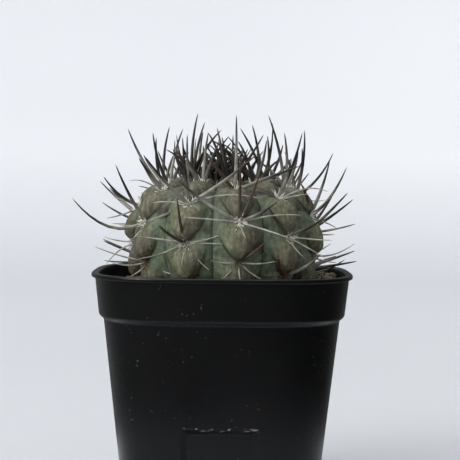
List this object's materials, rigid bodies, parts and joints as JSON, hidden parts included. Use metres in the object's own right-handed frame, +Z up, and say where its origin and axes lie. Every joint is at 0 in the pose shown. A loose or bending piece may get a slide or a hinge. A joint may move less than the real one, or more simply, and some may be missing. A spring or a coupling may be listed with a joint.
{
  "type": "potted eriosyce paucicostata",
  "caption": "Ribbed grey-green globe cactus with chin-like tubercles and long dark spines, standing in soil in a soft-square black nursery pot.",
  "frame": {"origin": "middle of the pot's flat underside", "axes": "+Z up, -Y towards the front that the picture shows, +X to the right seen from the front"},
  "size_m": [0.0998, 0.0995, 0.1354],
  "materials": {
    "pot_plastic": "thin moulded black plastic with a satin sheen, pale scuffs and a little dust",
    "soil": "dry gritty potting mix of brown and tan grains",
    "cactus_skin": "matt grey-green waxy skin, brown-purple on the tubercles, with grey spines tipped dark brown"
  },
  "bodies": {
    "root": {"pot": "pot_plastic", "soil": "soil", "cactus": "cactus_skin"}
  },
  "joints": []
}
